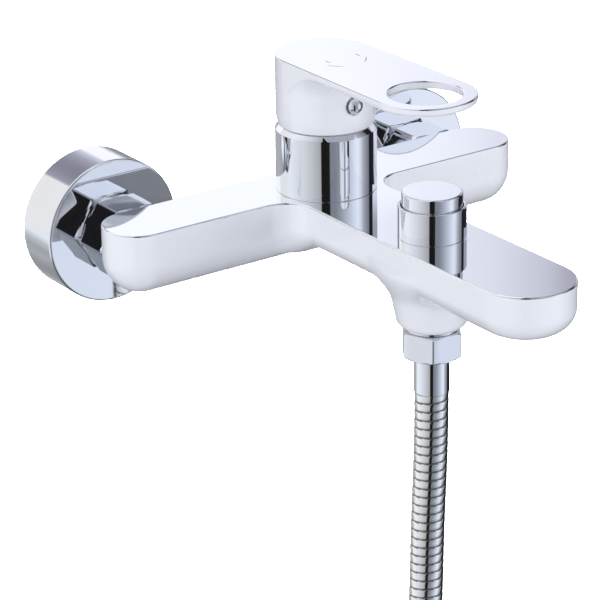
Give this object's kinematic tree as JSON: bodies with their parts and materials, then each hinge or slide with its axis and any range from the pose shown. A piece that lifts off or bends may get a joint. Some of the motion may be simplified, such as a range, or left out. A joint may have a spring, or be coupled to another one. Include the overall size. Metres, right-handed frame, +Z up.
{
  "type": "wall mounted bath faucet",
  "caption": "Wall mounted single-lever bath and shower mixer with wall plates on both inlets, a flat spout, a pull-up diverter knob and a coiled metal shower hose.",
  "frame": {"origin": "on the wall plane, midway between the axes of the two wall studs", "axes": "+Y into the wall along the studs, +Z up, +X to the right as seen from in front of the faucet"},
  "size_m": [0.2102, 0.2301, 0.4413],
  "materials": {
    "chrome_plate": "polished",
    "white_enamel": "gloss",
    "hose_metal": "polished",
    "raw_brass": "satin",
    "steel": "satin",
    "black_rubber": "matte",
    "disc_ceramic": "satin",
    "cartridge_plastic": "matte",
    "jet_plastic": "gloss",
    "tie_plastic": "matte"
  },
  "bodies": {
    "mixer": {"eccentric_union_left": "raw_brass", "escutcheon_left": "chrome_plate", "union_nut_left": "chrome_plate", "inlet_seal_left": "black_rubber", "inlet_nipple_left": "raw_brass", "eccentric_union_right": "raw_brass", "escutcheon_right": "chrome_plate", "union_nut_right": "chrome_plate", "inlet_seal_right": "black_rubber", "inlet_nipple_right": "raw_brass", "body_casting": "white_enamel", "cartridge_sleeve": "chrome_plate", "lock_ring": "raw_brass", "cartridge_base": "cartridge_plastic", "port_seals": "black_rubber", "fixed_ceramic_disc": "disc_ceramic", "cartridge_housing": "cartridge_plastic", "diverter_bonnet": "raw_brass", "spindle_seal": "black_rubber", "diverter_collar": "chrome_plate", "aerator_housing": "chrome_plate", "aerator_insert": "jet_plastic", "aerator_washer": "black_rubber", "outlet_nipple": "chrome_plate", "hose_seal": "black_rubber", "hose_ferrule": "chrome_plate", "hose_nut": "chrome_plate", "hose_run": "hose_metal", "hose_coil": "hose_metal", "coil_tie": "tie_plastic", "end_ferrule": "chrome_plate", "end_seal": "black_rubber"},
    "swivel": {"stem_swivel": "cartridge_plastic", "stem_pin": "steel"},
    "lever": {"lever_stem": "raw_brass", "handle": "white_enamel", "set_screw": "steel", "screw_cover": "chrome_plate"},
    "discs": {"moving_ceramic_disc": "disc_ceramic", "disc_slider": "cartridge_plastic"},
    "diverter": {"diverter_knob": "chrome_plate", "diverter_spindle": "raw_brass", "diverter_valve": "black_rubber"},
    "hose_end_nut": {"end_nut": "chrome_plate"}
  },
  "joints": [
    {"name": "temperature_turn", "type": "hinge", "parent": "mixer", "child": "swivel", "pos_m": [0, -0.065, 0.03], "axis": [0, 0, 1], "range_deg": [-50, 50]},
    {"name": "flow_lift", "type": "hinge", "parent": "swivel", "child": "lever", "pos_m": [0, -0.065, 0.03], "axis": [-1, 0, 0], "range_deg": [0, 25]},
    {"name": "disc_slide", "type": "slide", "parent": "swivel", "child": "discs", "axis": [0, -1, 0], "range_m": [0, 0.0024]},
    {"name": "diverter_pull", "type": "slide", "parent": "mixer", "child": "diverter", "axis": [0, 0, 1], "range_m": [0, 0.008]},
    {"name": "end_nut_spin", "type": "hinge", "parent": "mixer", "child": "hose_end_nut", "pos_m": [-0.00917, -0.1076, -0.21349], "axis": [-0.9781, 0, 0.2079], "continuous": true}
  ],
  "couplings": [
    {"joint": "disc_slide", "follows": "flow_lift", "m_per_rad": 0.005457}
  ]
}
